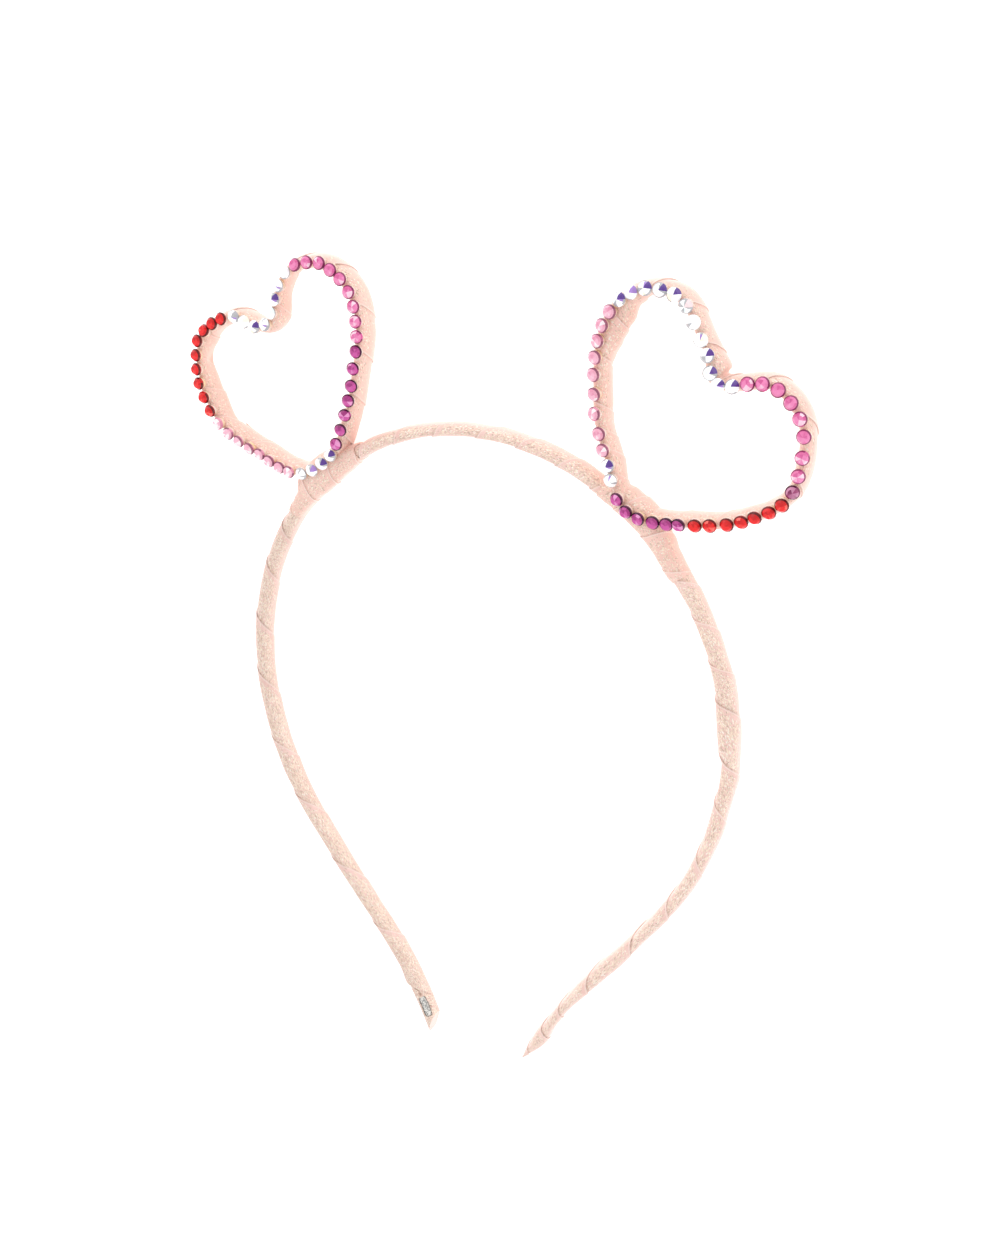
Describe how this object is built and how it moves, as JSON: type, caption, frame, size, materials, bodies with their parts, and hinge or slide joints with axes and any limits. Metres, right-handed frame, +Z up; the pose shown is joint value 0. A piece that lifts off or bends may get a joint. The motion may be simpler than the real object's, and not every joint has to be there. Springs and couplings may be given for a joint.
{
  "type": "heart ears headband",
  "caption": "Narrow hair band wound with blush glitter ribbon, with two open wound hearts as ears, each edged with cut stones in runs of colour.",
  "frame": {"origin": "middle of the footprint of the band lying on its back, on the surface it rests on", "axes": "+Y from the tips to the hearts, +Z up from the back to the stones, +X to the right seen from the stones"},
  "size_m": [0.1428, 0.1894, 0.0077],
  "materials": {
    "hoop_metal": "bare sprung strip",
    "glitter_ribbon": "blush satin ribbon with fine silver glitter",
    "stone_red": "foiled cut stone, red",
    "stone_pale_pink": "foiled cut stone, pale pink",
    "stone_rose": "foiled cut stone, rose",
    "stone_fuchsia": "foiled cut stone, fuchsia",
    "stone_amethyst": "foiled cut stone, dark amethyst",
    "stone_crystal": "foiled cut stone, clear with a violet and yellow flash"
  },
  "bodies": {
    "root": {"band_core": "hoop_metal", "left_leg_ribbon": "glitter_ribbon", "crown_ribbon": "glitter_ribbon", "right_leg_ribbon": "glitter_ribbon", "left_joint_wrap": "glitter_ribbon", "right_joint_wrap": "glitter_ribbon", "left_heart_frame": "glitter_ribbon", "right_heart_frame": "glitter_ribbon", "left_stones_crystal_low": "stone_crystal", "left_stones_fuchsia": "stone_fuchsia", "left_stones_rose": "stone_rose", "left_stones_crystal_top": "stone_crystal", "left_stones_red": "stone_red", "left_stones_pale_pink": "stone_pale_pink", "right_stones_fuchsia": "stone_fuchsia", "right_stones_red": "stone_red", "right_stones_amethyst": "stone_amethyst", "right_stones_rose": "stone_rose", "right_stones_crystal_top": "stone_crystal", "right_stones_pale_pink": "stone_pale_pink", "right_stones_crystal_low": "stone_crystal"}
  },
  "joints": []
}
